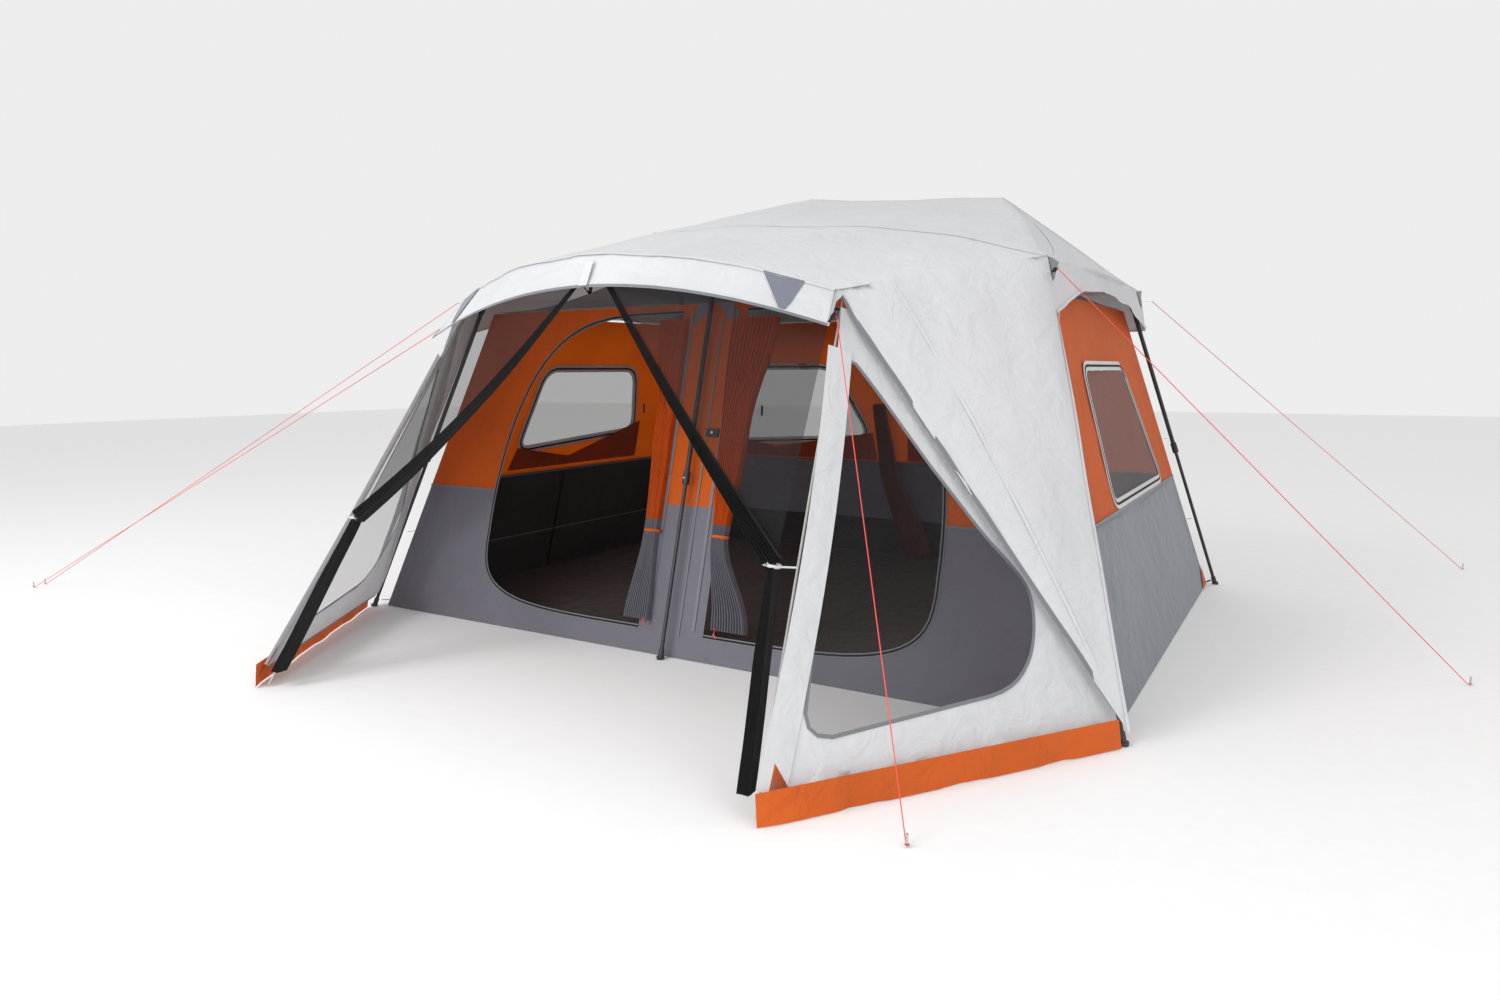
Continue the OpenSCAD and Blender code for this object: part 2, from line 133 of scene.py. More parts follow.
def fabric(name, rgb, rough=0.6, through=0.25, crumple=0.35, sheen=0.25, amount=0.07, alpha=1.0):
    m, nodes, links, shader = new_material(name)
    where = nodes.new("ShaderNodeTexCoord")
    tint = vary(nodes, links, where, rgb, amount, 1.7)
    links.new(tint.outputs["Color"], shader.inputs["Base Color"])
    shader.inputs["Roughness"].default_value = rough
    shader.inputs["Sheen Weight"].default_value = sheen
    shader.inputs["Specular IOR Level"].default_value = 0.3
    shader.inputs["Alpha"].default_value = alpha
    creases = add(nodes, "ShaderNodeTexNoise", Scale=9.0, Detail=7.0, Distortion=0.8)
    links.new(where.outputs["Object"], creases.inputs["Vector"])
    bump = add(nodes, "ShaderNodeBump", Strength=crumple, Distance=0.03)
    links.new(creases.outputs["Fac"], bump.inputs["Height"])
    threads = add(nodes, "ShaderNodeTexWave", Scale=60.0, bands_direction="X")
    links.new(where.outputs["Object"], threads.inputs["Vector"])
    across = add(nodes, "ShaderNodeTexWave", Scale=60.0, bands_direction="Z")
    links.new(where.outputs["Object"], across.inputs["Vector"])
    cross = add(nodes, "ShaderNodeMath", operation="ADD")
    links.new(threads.outputs["Fac"], cross.inputs[0])
    links.new(across.outputs["Fac"], cross.inputs[1])
    fine = add(nodes, "ShaderNodeBump", Strength=0.12, Distance=0.0006)
    links.new(cross.outputs["Value"], fine.inputs["Height"])
    links.new(bump.outputs["Normal"], fine.inputs["Normal"])
    links.new(fine.outputs["Normal"], shader.inputs["Normal"])
    if through:
        glow = nodes.new("ShaderNodeBsdfTranslucent")
        links.new(tint.outputs["Color"], glow.inputs["Color"])
        links.new(bump.outputs["Normal"], glow.inputs["Normal"])
        mix = add(nodes, "ShaderNodeMixShader", Fac=through)
        links.new(shader.outputs["BSDF"], mix.inputs[1])
        links.new(glow.outputs["BSDF"], mix.inputs[2])
        links.new(mix.outputs["Shader"], nodes["Material Output"].inputs["Surface"])
    return m


def hard(name, rgb, rough, metal=0.0, amount=0.1, grain=0.15, scale=40.0):
    m, nodes, links, shader = new_material(name)
    where = nodes.new("ShaderNodeTexCoord")
    tint = vary(nodes, links, where, rgb, amount, 12.0)
    links.new(tint.outputs["Color"], shader.inputs["Base Color"])
    shader.inputs["Roughness"].default_value = rough
    shader.inputs["Metallic"].default_value = metal
    marks = add(nodes, "ShaderNodeTexNoise", Scale=scale, Detail=6.0)
    links.new(where.outputs["Object"], marks.inputs["Vector"])
    bump = add(nodes, "ShaderNodeBump", Strength=grain, Distance=0.0008)
    links.new(marks.outputs["Fac"], bump.inputs["Height"])
    links.new(bump.outputs["Normal"], shader.inputs["Normal"])
    return m


WHITE = fabric("canopy_white", (0.66, 0.67, 0.69), 0.55, 0.18, 0.45, 0.15, 0.04)
ORANGE = fabric("wall_orange", (0.70, 0.115, 0.006), 0.6, 0.3, 0.35, 0.03, 0.1)
DEEP_ORANGE = fabric("flap_orange", (0.33, 0.06, 0.015), 0.6, 0.2, 0.4, 0.2, 0.15)
GREY = fabric("wall_grey", (0.15, 0.145, 0.175), 0.55, 0.06, 0.35, 0.25, 0.08)
BLUE_GREY = fabric("side_grey", (0.155, 0.175, 0.205), 0.55, 0.06, 0.35, 0.25, 0.08)
# dark tub lining inside the walls; on the left wall the same dark sheet, raised above the tub seam, is
# painted shade
TUB_AND_SHADE = fabric("tub_black_and_painted_shade", (0.055, 0.055, 0.06), 0.5, 0.0, 0.4, 0.1, 0.2)
FLOOR = fabric("groundsheet", (0.04, 0.03, 0.027), 0.55, 0.0, 0.5, 0.1, 0.2)
NET = fabric("mesh_black", (0.012, 0.012, 0.013), 0.9, 0.0, 0.3, 0.0, 0.2, alpha=0.55)
NET_THICK = fabric("mesh_gathered", (0.012, 0.012, 0.013), 0.85, 0.0, 0.5, 0.03, 0.3, alpha=0.94)
NET_CEILING = fabric("mesh_ceiling", (0.02, 0.02, 0.022), 0.7, 0.0, 0.3, 0.2, 0.2, alpha=0.6)
NET_LIGHT = fabric("mesh_window", (0.02, 0.02, 0.022), 0.9, 0.0, 0.2, 0.0, 0.2, alpha=0.34)
PANE = fabric("window_mesh", (0.12, 0.115, 0.115), 0.6, 0.0, 0.2, 0.1, 0.1, alpha=0.55)
BORDER = fabric("window_border", (0.72, 0.72, 0.72), 0.5, 0.2, 0.2, 0.2, 0.03)
SKIRT = fabric("skirt_orange", (0.62, 0.11, 0.01), 0.55, 0.15, 0.8, 0.03, 0.15)
CURTAIN = fabric("curtain_brown", (0.26, 0.055, 0.02), 0.65, 0.2, 0.4, 0.3, 0.2)
TAPE = fabric("binding_grey", (0.17, 0.175, 0.19), 0.6, 0.0, 0.2, 0.2, 0.1)
STRAP = fabric("webbing_black", (0.012, 0.012, 0.013), 0.85, 0.0, 0.2, 0.0, 0.2)
PATCH = fabric("patch_grey", (0.16, 0.17, 0.21), 0.6, 0.0, 0.3, 0.2, 0.1)
CORD = fabric("guy_red", (0.72, 0.07, 0.05), 0.6, 0.0, 0.3, 0.3, 0.15)
BLACK_TUBE = hard("black_tube", (0.02, 0.02, 0.022), 0.38, 0.0)
STEEL_TUBE = hard("steel_tube", (0.045, 0.046, 0.05), 0.38, 0.4)
PLASTIC = hard("black_plastic", (0.022, 0.022, 0.024), 0.55, 0.0, grain=0.3)
BUTTON = hard("button_metal", (0.6, 0.6, 0.62), 0.3, 1.0)
ROD = hard("fibreglass", (0.42, 0.42, 0.4), 0.5, 0.0)
PEG = hard("peg_steel", (0.55, 0.55, 0.57), 0.32, 1.0)


# ---- Building pieces ----
def lerp(a, b, t):
    return a + (b - a) * t


def n3(x, y, z=0.0):
    return noise.noise(Vector((x, y, z)))


def ring(count, place):
    """A closed round of places, each made from its cosine and sine."""
    angles = [2 * math.pi * k / count for k in range(count + 1)]
    return [place(math.cos(a), math.sin(a)) for a in angles]


def finished(obj, mats):
    bpy.context.scene.collection.objects.link(obj)
    for m in mats:
        obj.data.materials.append(m)
    for p in obj.data.polygons:
        p.use_smooth = True
    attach(obj, "root")
    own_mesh(obj)
    return obj


def mesh_piece(name, points, faces, mats, pick=None):
    data = bpy.data.meshes.new(name)
    data.from_pydata([tuple(p) for p in points], [], faces)
    data.validate()
    obj = bpy.data.objects.new(name, data)
    if pick:
        for p in data.polygons:
            p.material_index = pick(p.center)
    return finished(obj, mats)


def grid_piece(name, rows, mats, pick=None):
    n = len(rows[0])
    points = [p for row in rows for p in row]
    faces = [
        (i * n + j, i * n + j + 1, (i + 1) * n + j + 1, (i + 1) * n + j)
        for i in range(len(rows) - 1)
        for j in range(n - 1)
    ]
    return mesh_piece(name, points, faces, mats, pick)


def grids_piece(name, grids, mats):
    """Several grids in one mesh, each with its own material."""
    points, faces, made_of = [], [], []
    for index, rows in enumerate(grids):
        first, n = len(points), len(rows[0])
        points += [p for row in rows for p in row]
        for i in range(len(rows) - 1):
            for j in range(n - 1):
                k = first + i * n + j
                faces.append((k, k + 1, k + n + 1, k + n))
                made_of.append(index)
    piece = mesh_piece(name, points, faces, mats)
    for p, index in zip(piece.data.polygons, made_of):
        p.material_index = index
    return piece


def pleats(count, cloth, folds, width, place):
    """Rows of a sheet gathered into folds. The cloth keeps its whole width, so the folds are
    as deep as it needs: place(t, x, y) puts a point x across and y deep, at t down the sheet."""
    rows = []
    n = folds * 8
    for i in range(count):
        t = i / (count - 1)
        wide = width(t)
        leg, step = cloth(t) / (2 * folds), wide / (2 * folds)
        deep = math.sqrt(max(leg * leg - step * step, 0)) / 2
        row = []
        for k in range(n + 1):
            u = k / n
            y = deep * math.sin(2 * math.pi * folds * u) + 0.006 * n3(u * 5, t * 4, folds)
            row.append(place(t, (u - 0.5) * wide, y))
        rows.append(row)
    return rows


def inside(p, loop):
    hit = False
    for (x0, y0), (x1, y1) in zip(loop, loop[1:] + loop[:1]):
        if (y0 > p[1]) != (y1 > p[1]) and p[0] < (x1 - x0) * (p[1] - y0) / (y1 - y0) + x0:
            hit = not hit
    return hit


def to_edge(p, loops):
    best = 9.0
    q = Vector(p)
    for loop in loops:
        for a, b in zip(loop, loop[1:] + loop[:1]):
            a, b = Vector(a), Vector(b)
            t = max(0, min(1, (q - a).dot(b - a) / max((b - a).length_squared, 1e-9)))
            best = min(best, (a + (b - a) * t - q).length)
    return best


def flat_piece(name, loop, holes, place, mats, step=0.05,
               lines=(), pick=None, wrinkle=None, zones=()):
    """A sheet cut to a loop, with holes, filled with even triangles and then placed in 3-D.
    The triangles inside the zones, more loops, take the last material."""
    loops = [loop, *holes]
    cuts = [*loops, *zones]
    points, edges = [], []
    for l in cuts:
        first = len(points)
        for a, b in zip(l, l[1:] + l[:1]):
            n = max(1, round((Vector(b) - Vector(a)).length / step))
            points += [Vector(a).lerp(Vector(b), k / n) for k in range(n)]
        edges += [(k, k + 1) for k in range(first, len(points) - 1)] + [(len(points) - 1, first)]
    for a, b in lines:
        points += [Vector(a), Vector(b)]
        edges.append((len(points) - 2, len(points) - 1))
    lo = [min(p[k] for p in loop) for k in (0, 1)]
    hi = [max(p[k] for p in loop) for k in (0, 1)]
    row, y = 0, lo[1] + step / 2
    while y < hi[1]:
        x = lo[0] + (step / 2 if row % 2 else step)
        while x < hi[0]:
            if inside((x, y), loop) and not any(inside((x, y), h) for h in holes):
                if to_edge((x, y), cuts) > step * 0.45:
                    points.append(Vector((x, y)))
            x += step
        row, y = row + 1, y + step * 0.87
    verts, _, faces = delaunay_2d_cdt(points, edges, [], 0, 1e-5)[:3]
    kept, zoned = [], []
    for f in faces:
        c = sum((verts[k] for k in f), Vector((0, 0))) / len(f)
        if inside(c, loop) and not any(inside(c, h) for h in holes):
            kept.append(tuple(f))
            zoned.append(any(inside(c, z) for z in zones))
    placed = []
    for v in verts:
        d = 0.0
        if wrinkle:
            d = wrinkle(v[0], v[1]) * min(1.0, to_edge(v, loops) / 0.12)
        placed.append(place(v[0], v[1], d))
    piece = mesh_piece(name, placed, kept, mats, pick)
    for p, z in zip(piece.data.polygons, zoned):
        if z:
            p.material_index = len(mats) - 1
    return piece


def ribbon(name, points, normal, width, mat, lift=0.003, closed=False):
    """A strip of tape along points; normal is one vector or one for each point."""
    points = [Vector(p) for p in points]
    n = len(points)
    normals = normal if isinstance(normal, list) else [normal] * n
    rows = []
    for i, p in enumerate(points):
        before, after = points[max(i - 1, 0)], points[min(i + 1, n - 1)]
        if closed:
            before, after = points[i - 1], points[(i + 1) % n]
        out = Vector(normals[i]).normalized()
        across = (after - before).cross(out).normalized() * width / 2
        rows.append([p + out * lift - across, p + out * lift, p + out * lift + across])
    if closed:
        rows.append([v.copy() for v in rows[0]])
    return grid_piece(name, rows, [mat])


def tube_rows(points, radius, sides):
    rows = []
    for i, p in enumerate(points):
        along = (points[min(i + 1, len(points) - 1)] - points[max(i - 1, 0)]).normalized()
        u = along.cross(UP if abs(along.z) < 0.9 else Vector((1, 0, 0))).normalized()
        w = along.cross(u)
        rows.append(ring(sides, lambda c, s: p + radius * (c * u + s * w)))
    return rows


# ---- Guy lines ----
GUYS = {
    "guy_line_front_left": ((-1.79, -0.56, 1.845), (-4.7, -1.69, 0.006)),
    "guy_line_front_right": ((1.79, -0.56, 1.845), (3.4, 0.54, 0.006)),
    "guy_line_rear_left": ((-1.79, 1.84, 1.845), (-3.4, 3.45, 0.006)),
    "guy_line_rear_right": ((1.79, 1.84, 1.845), (3.65, 3.6, 0.006)),
    "guy_line_porch_left": ((-1.125, -1.27, 1.65), (-4.65, -1.78, 0.006)),
    "guy_line_porch_right": ((1.125, -1.27, 1.65), (1.78, -2.1, 0.006)),
}
for name, (top, peg) in GUYS.items():
    top, peg = Vector(top), Vector(peg)
    route = [top.lerp(peg, k / 40) for k in range(41)]
    line = grid_piece(name + "_cord", tube_rows(route, CORD_R, 8), [CORD])
    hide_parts(name)
    away = Vector((peg.x - top.x, peg.y - top.y, 0)).normalized()
    centre = peg + away * 0.014
    loop = ring(16, lambda c, s: centre + Vector((KNOT_R * c, KNOT_R * s, 0.0)))
    knot = grid_piece(name + "_loop", tube_rows(loop, 0.0019, 8), [CORD])


# ---- The frame's own pieces ----
def paint(starts, mat):
    for name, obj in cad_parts.items():
        if name.startswith(starts):
            obj.data.materials.clear()
            obj.data.materials.append(mat)


paint(("upper_leg",), BLACK_TUBE)
paint(("roof_arm", "ridge_tube", "lower_leg"), STEEL_TUBE)
paint(("centre_hub", "side_hub", "eave_knuckle", "light_control"), PLASTIC)
paint(("lock_button", "light_button"), BUTTON)
paint(("porch_bow",), ROD)
paint(("floor_sheet",), FLOOR)
paint(("ground_pegs",), PEG)


# ---- Walls ----
NORMALS = {
    "front": Vector((0, -1, LEAN)).normalized(),
    "back": Vector((0, 1, LEAN)).normalized(),
    "right": Vector((1, 0, LEAN)).normalized(),
    "left": Vector((-1, 0, LEAN)).normalized(),
}


def on_wall(which, u, z, d=0.0):
    """A place on a wall: u runs along X on the front and back and along Y on the sides."""
    if which == "front":
        p = Vector((u, MID - (WALL_Y - LEAN * z), z))
    elif which == "back":
        p = Vector((u, MID + (WALL_Y - LEAN * z), z))
    elif which == "right":
        p = Vector((WALL_X - LEAN * z, u, z))
    else:
        p = Vector((-(WALL_X - LEAN * z), u, z))
    return p + NORMALS[which] * d


def wall_loop(half, middle=0.0, low=0.0, high=WALL_TOP):
    return [
        (middle - half + LEAN * low, low), (middle + half - LEAN * low, low),
        (middle + half - LEAN * high, high), (middle - half + LEAN * high, high),
    ]


def level_line(which, start, end, z, count):
    """Places along a wall at one height."""
    return [on_wall(which, lerp(start, end, k / count), z) for k in range(count + 1)]


def rising_line(which, u, low, high, count):
    """Places up a wall, all at the same u."""
    return [on_wall(which, u, lerp(low, high, k / count)) for k in range(count + 1)]


def billow(seed, big=0.012, small=0.006):
    def height(u, z):
        folds = n3(u * 5 + z * 3.5, z * 0.8 - u * 0.5, seed + 7)
        folds2 = n3(u * 6 - z * 4.5, z * 0.9 + u * 0.6, seed + 3)
        return big * n3(u * 0.9, z * 0.9, seed) + small * (abs(folds) + abs(folds2)) - small * 0.4
    return height


def door_loop(s):
    """The outline of a doorway: straight beside the pole and rounded on its other side."""
    points = []
    for i in range(37):
        a = math.radians(-89.9 + i * 179.8 / 36)
        c, t = math.cos(a), math.sin(a)
        x = DOOR_SIDE + DOOR_WIDE * c ** DOOR_CURVE
        z = DOOR_MID + (DOOR_UP * t if t > 0 else -DOOR_DOWN * (-t) ** DOOR_CURVE)
        points.append((s * x, z))
    return points


def above(height):
    """The first material above a height and the second below it."""
    return lambda centre: 0 if centre.z > height else 1


front = flat_piece(
    "front_wall_cloth", wall_loop(WALL_X - 0.012), [door_loop(1), door_loop(-1)],
    lambda u, z, d: on_wall("front", u, z, d), [ORANGE, GREY], 0.06,
    lines=[((a, SPLIT), (b, SPLIT)) for a, b in ((-1.93, -1.37), (-0.12, 0.12), (1.37, 1.93))],
    pick=above(SPLIT), wrinkle=billow(1.0))
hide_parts("front_wall")
for s, tag in SIDES:
    edge = [on_wall("front", *p) for p in door_loop(s)]
    straight = rising_line("front", s * 0.14, 0.14, 1.74, 10)
    ribbon("door_zip_" + tag, edge, NORMALS["front"], 0.009, STRAP, 0.004)
    ribbon("door_edge_" + tag, edge, NORMALS["front"], 0.022, TAPE, 0.0025)
    ribbon("door_hinge_seam_" + tag, straight, NORMALS["front"], 0.018, TAPE, 0.004)


def rounded(corners, radius, steps=6):
    """An outline with its corners rounded off."""
    out = []
    n = len(corners)
    for i in range(n):
        a, b, c = (Vector(corners[k % n]) for k in (i - 1, i, i + 1))
        start = b + (a - b).normalized() * radius
        end = b + (c - b).normalized() * radius
        for k in range(steps + 1):
            t = k / steps
            out.append(tuple(start * (1 - t) ** 2 + b * 2 * t * (1 - t) + end * t * t))
    return out


WINDOWS = {
    "right_window": ("right", rounded([(0.10, 0.77), (1.50, 0.77), (1.14, 1.44), (0.16, 1.44)], 0.09)),
    "left_window": ("left", rounded([(-0.02, 0.9), (1.22, 0.98), (1.1, 1.45), (0.14, 1.45)], 0.12)),
    "back_window_right": ("back", rounded([(0.16, 0.92), (1.36, 0.86), (1.10, 1.46), (0.42, 1.46)], 0.13)),
    "back_window_left": ("back", rounded([(-0.16, 0.92), (-1.36, 0.86), (-1.10, 1.46), (-0.42, 1.46)], 0.13)),
}


def full_wall(which, half, middle, lower, seed, node):
    """A wall with no doorway, its windows and seams, and the dark tub lining inside it, which on the left
    wall rises to 0.73 as painted shade.
    """
    panes = [loop for side, loop in WINDOWS.values() if side == which]
    end = half - LEAN * SPLIT
    wall = flat_piece(
        node + "_cloth", wall_loop(half, middle), [],
        lambda u, z, d: on_wall(which, u, z, d), [ORANGE, lower, PANE], 0.06, zones=panes,
        lines=[((middle - end + 0.01, SPLIT), (middle + end - 0.01, SPLIT))],
        pick=above(SPLIT), wrinkle=billow(seed))
    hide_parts(node)
    # the dark lining inside the wall: the tub up to 0.29, and on the left wall a taller dark sheet up to
    # 0.73, painted shade above the tub seam at 0.3
    inner = flat_piece(
        node + "_tub", wall_loop(half - 0.02, middle, 0.006, 0.73 if which == "left" else 0.29), [],
        lambda u, z, d: on_wall(which, u, z, -0.02 + d), [TUB_AND_SHADE], 0.08,
        wrinkle=billow(seed + 5, 0.004, 0.004))
    if which == "left":
        low_seam = level_line(which, middle - half + 0.12, middle + half - 0.12, 0.3, 30)
        ribbon(node + "_tub_seam", low_seam, -NORMALS[which], 0.012, TAPE, 0.026)
        rise = rising_line(which, 0.47, 0.02, 0.72, 10)
        ribbon(node + "_tub_upright", rise, -NORMALS[which], 0.014, STRAP, 0.026)
    seam = level_line(which, middle - end + 0.02, middle + end - 0.02, SPLIT, 30)
    ribbon(node + "_split_seam", seam, NORMALS[which], 0.012, TAPE, 0.006)


full_wall("back", WALL_X - 0.012, 0.0, GREY, 11.0, "back_wall")
full_wall("right", WALL_Y - 0.012, MID, BLUE_GREY, 21.0, "right_wall")
full_wall("left", WALL_Y - 0.012, MID, GREY, 31.0, "left_wall")
for k, (start, end) in enumerate([(-1.93, -1.38), (1.38, 1.93)]):
    ribbon(f"front_split_seam_{k}", level_line("front", start, end, SPLIT, 8),
           NORMALS["front"], 0.012, TAPE, 0.006)


FLAPS = {
    "left_window": [(-0.10, 0.78), (1.26, 0.78), (1.24, 1.06), (0.48, 0.84), (-0.04, 0.93)],
    "back_window_right": [(0.12, 0.76), (1.42, 0.76), (1.38, 0.90), (0.98, 0.84), (0.14, 0.97)],
    "back_window_left": [(-0.12, 0.76), (-1.42, 0.76), (-1.38, 0.90), (-0.98, 0.84), (-0.14, 0.97)],
}
for name, (which, loop) in WINDOWS.items():
    closed = [on_wall(which, *p) for p in loop]
    for sign, tag in ((1, "out"), (-1, "in")):
        facing = NORMALS[which] * sign
        ribbon(f"{name}_border_{tag}", closed, facing, 0.05, BORDER, 0.006, closed=True)
        ribbon(f"{name}_stitch_{tag}", closed, facing, 0.012, STRAP, 0.0075, closed=True)
    if name in FLAPS:
        flat_piece(name + "_flap", FLAPS[name], [], lambda u, z, d: on_wall(which, u, z, -0.03 + d),
                   [DEEP_ORANGE], 0.05,
                   wrinkle=lambda u, z: 0.02 * abs(n3(u * 3 + z * 9, z * 14)))

# ---- Canopy: one continuous sheet ----
COLS = 24
BEND_AT = 0.75


def col_x(j, inner):
    u = 2 * j / COLS - 1
    a = abs(u)
    x = inner * a / BEND_AT if a < BEND_AT else lerp(inner, EAVE_X, (a - BEND_AT) / (1 - BEND_AT))
    return math.copysign(x, u)


def ridge_height(x):
    x = abs(x)
    if x < HUB_X:
        return lerp(PEAK_Z, HUB_Z, x / HUB_X) + FLY_UP
    return lerp(HUB_Z, EAVE_Z, (x - HUB_X) / (EAVE_X - HUB_X)) + FLY_UP


def on_bow(u, forward=0.0, rise=0.0):
    """A place on the porch bow, from its left shoulder at u = -1 to its right one at u = 1."""
    a = abs(u)
    y, z = lerp(PEAK.y, SHOULDER.y, a * a), lerp(PEAK.z, SHOULDER.z, a * a)
    return Vector((SHOULDER.x * u, y - forward, z + rise))


def under(p):
    k = (p.x / SHOULDER.x) ** 2
    return p + Vector((math.copysign(0.03 * k, p.x), -0.07 - 0.06 * k, -0.15))


corner_x = EAVE_X - 0.015
arch_row = [on_bow(col_x(j, corner_x) / EAVE_X, 0.025, 0.02) for j in range(COLS + 1)]
valance = [under(p) for p in arch_row]
front_row = []
for j in range(COLS + 1):
    x = col_x(j, corner_x)
    front_row.append(Vector((x, MID - EAVE_Y, lerp(2.15, EAVE_Z + FLY_UP, (abs(x) / EAVE_X) ** 2))))
ridge_row = [Vector((col_x(j, HUB_X), MID, ridge_height(col_x(j, HUB_X)))) for j in range(COLS + 1)]
rear_row = [Vector((col_x(j, corner_x), MID + EAVE_Y, EAVE_Z + FLY_UP)) for j in range(COLS + 1)]
hem_row = [Vector((p.x, MID + EAVE_Y + 0.04, EAVE_Z - 0.19)) for p in rear_row]


def between(a, b):
    return [p.lerp(q, 0.5) for p, q in zip(a, b)]


fly = [valance, arch_row, between(arch_row, front_row), front_row, between(front_row, ridge_row),
       ridge_row, between(ridge_row, rear_row), rear_row, hem_row]
HANG = [(0.006, 0, 0), (0.012, 0.016, 0.03), None, (0.045, 0.03, 0.24), (0.022, 0, 0.11),
        (0.012, 0, 0.07), (0.022, 0, 0.11), (0.04, -0.015, 0.232), (0.034, -0.024, 0)]
control = []
for row, hang in zip(fly, HANG):
    end = WING_FOOT if hang is None else row[-1] + Vector((hang[0], hang[1], -hang[2]))
    control.append([Vector((-end.x, end.y, end.z)), *row, end])
FINE_ROWS, FINE_COLS, FINE_WING = 8, 4, 18
LAST = len(control) - 1
END = COLS + 2
stops = []
for j in range(END):
    n = FINE_WING if j in (0, END - 1) else FINE_COLS
    stops += [j + k / n for k in range(n)]
stops.append(END)
levels = [i / FINE_ROWS for i in range(FINE_ROWS * LAST + 1)]


def fly_point(v, h):
    """A place on the smooth canopy: v counts rows from the arch back, h columns from the left."""
    i, j = min(int(v), LAST - 1), min(int(h), END - 1)
    fv, fh = v - i, h - j
    a = control[i][j].lerp(control[i][j + 1], fh)
    b = control[i + 1][j].lerp(control[i + 1][j + 1], fh)
    return a.lerp(b, fv)


def fly_normal(v, h):
    e = 0.02
    du = fly_point(v, min(h + e, END)) - fly_point(v, max(h - e, 0))
    dv = fly_point(min(v + e, LAST), h) - fly_point(max(v - e, 0), h)
    return du.cross(dv).normalized()


def fly_wrinkle(p, v, h):
    if h < 1 or h > END - 1:
        s = math.copysign(1, p.x)
        q = Vector((p.x * s, p.y, p.z))
        along = (WING_FOOT - Vector((EAVE_X, MID - EAVE_Y, EAVE_Z))).normalized()
        rel = q - WING_FOOT
        t = rel.dot(along)
        off = rel - along * t
        return 0.017 * n3(off.x * 8 + off.y * 4, off.z * 6, t * 0.8) + 0.012 * n3(p.x * 2, p.z * 2, 3 + s)
    ripple = 0.012 * n3(p.x * 3.2, p.y * 1.3, 5) + 0.016 * n3(p.x * 1.1, p.y * 1.2, 9)
    if v < 3:
        ripple += 0.006 * n3(p.x * 9, p.y * 2.5, 2)
    return ripple


def on_fly(v, h, lift=0.0):
    """A place on the wrinkled canopy, whose wrinkles fade at its hems, and the normal there."""
    p, n = fly_point(v, h), fly_normal(v, h)
    edge = min(1.0, min(v, LAST - v) * 2.5)
    return p + n * (fly_wrinkle(p, v, h) * edge + lift), n


fly_rows = [[on_fly(v, h)[0] for h in stops] for v in levels]
canopy = grid_piece("canopy_cloth", fly_rows, [WHITE])
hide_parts("fly_canopy")


def along_fly(path, count):
    """Points and normals on the canopy along a line of (v, h) places."""
    points, normals = [], []
    for (v0, h0), (v1, h1) in zip(path, path[1:]):
        for k in range(count):
            t = k / count
            p, n = on_fly(lerp(v0, v1, t), lerp(h0, h1, t))
            points.append(p)
            normals.append(n)
    points.append(fly_point(*path[-1]))
    normals.append(fly_normal(*path[-1]))
    return points, normals


SEAMS = {
    "seam_front_arm_right": ([(3, END - 1), (5, 22)], WHITE, 0.014),
    "seam_rear_arm_right": ([(7, END - 1), (5, 22)], WHITE, 0.014),
    "seam_front_arm_left": ([(3, 1), (5, 4)], WHITE, 0.014),
    "seam_rear_arm_left": ([(7, 1), (5, 4)], WHITE, 0.014),
    "seam_arch": ([(1, 1.2), (1, END - 1.2)], WHITE, 0.016),
    "seam_front_fold": ([(3, 1.2), (3, END - 1.2)], WHITE, 0.012),
    "seam_rear_eave": ([(7, 1.2), (7, END - 1.2)], WHITE, 0.014),
    "seam_wing_right": ([(1.5, END - 1), (2, END)], WHITE, 0.012),
    "seam_wing_left": ([(1.5, 1), (2, 0)], WHITE, 0.012),
    "binding_valance": ([(0.02, 1.0), (0.02, END - 1.0)], TAPE, 0.014),
    "binding_hem": ([(7.98, 1.0), (7.98, END - 1.0)], TAPE, 0.014),
    "binding_wing_front_right": ([(1, END - 0.02), (2, END - 0.02)], TAPE, 0.018),
    "binding_wing_front_left": ([(1, 0.02), (2, 0.02)], TAPE, 0.018),
    "binding_wing_back_right": ([(2, END - 0.005), (3, END - 0.02)], WHITE, 0.014),
    "binding_wing_back_left": ([(2, 0.005), (3, 0.02)], WHITE, 0.014),
    "binding_side_right": ([(3, END - 0.02), (5, END - 0.02), (7, END - 0.02)], WHITE, 0.016),
    "binding_side_left": ([(3, 0.02), (5, 0.02), (7, 0.02)], WHITE, 0.016),
}
for name, (path, mat, width) in SEAMS.items():
    points, normals = along_fly(path, 40)
    ribbon("canopy_" + name, points, normals, width, mat, 0.003)


def patch(name, corners):
    """A sewn-on reinforcing triangle or band given by (v, h) places on the canopy."""
    rows = []
    for a, b in zip(corners[0], corners[1]):
        places = [(lerp(a[0], b[0], k / 8), lerp(a[1], b[1], k / 8)) for k in range(9)]
        rows.append([on_fly(v, h, 0.005)[0] for v, h in places])
    return grid_piece(name, rows, [PATCH])


def from_edge(h, s):
    """The column h in from the canopy's right edge, or from its left one where s is -1."""
    return END - h if s > 0 else h


def strap(name, start, end, normal):
    points = [start.lerp(end, k / 4) for k in range(5)]
    ribbon(name, points, normal, 0.02, STRAP, 0.0)


